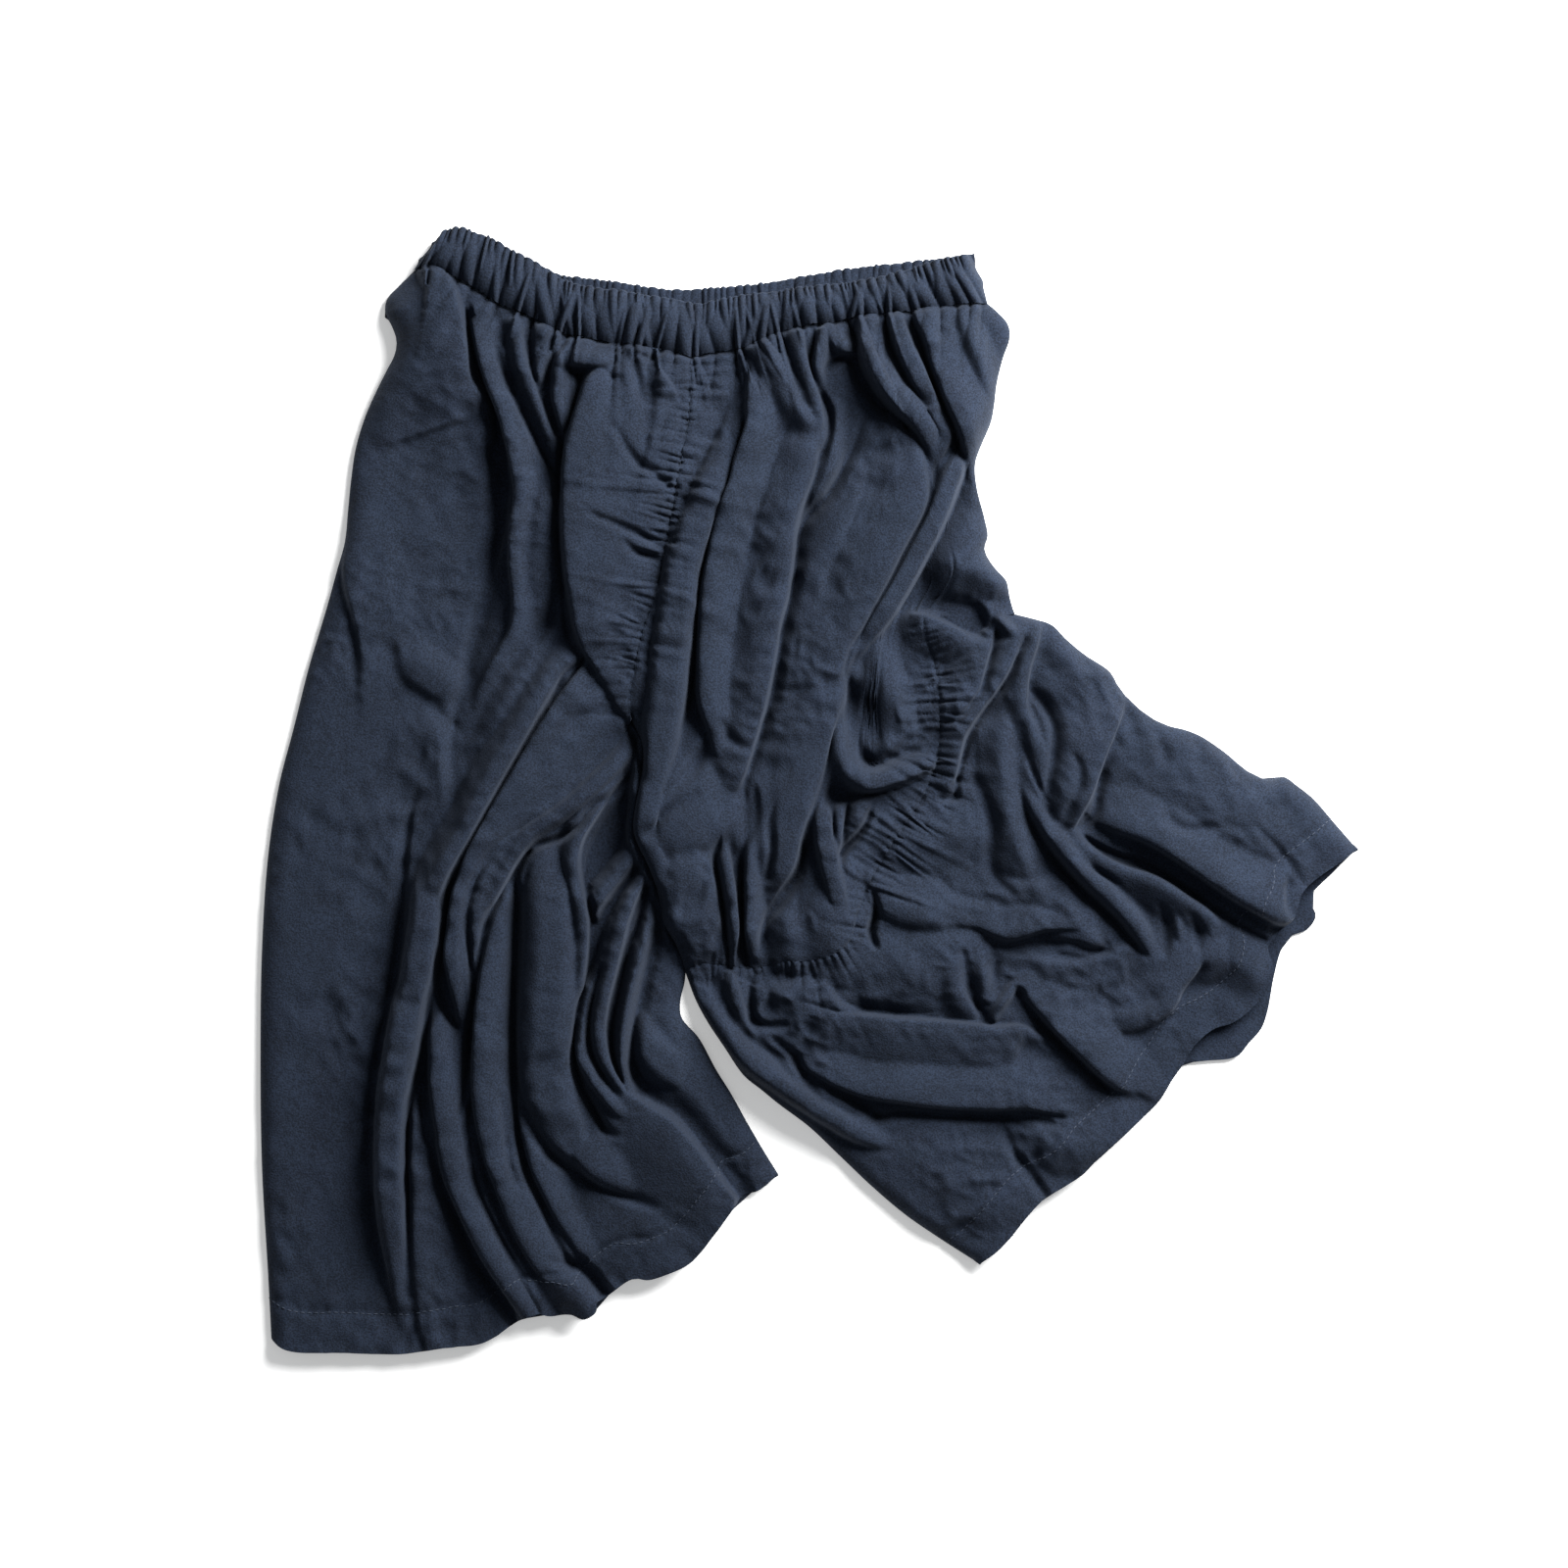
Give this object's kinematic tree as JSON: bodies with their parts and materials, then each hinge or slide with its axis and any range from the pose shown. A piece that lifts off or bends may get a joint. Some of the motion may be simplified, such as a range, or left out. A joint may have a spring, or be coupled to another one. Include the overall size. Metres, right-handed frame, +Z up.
{
  "type": "wide-leg bermuda shorts",
  "caption": "Pull-on shorts with a gathered elastic waistband, a shirred knee seam and wide rumpled legs, laid flat on their back.",
  "frame": {"origin": "centre of the bounding box, on the surface the shorts lie on", "axes": "+Z up from the surface, +Y from the hems towards the waistband, +X from the left leg towards the right leg"},
  "size_m": [0.7003, 0.716, 0.0293],
  "materials": {
    "cloth": "matt plain-weave cotton and linen, slate navy"
  },
  "bodies": {
    "root": {"waistband_front": "cloth", "waistband_back": "cloth", "left_front": "cloth", "left_back": "cloth", "right_upper_front": "cloth", "right_upper_back": "cloth", "right_lower_front": "cloth", "right_lower_back": "cloth"}
  },
  "joints": []
}
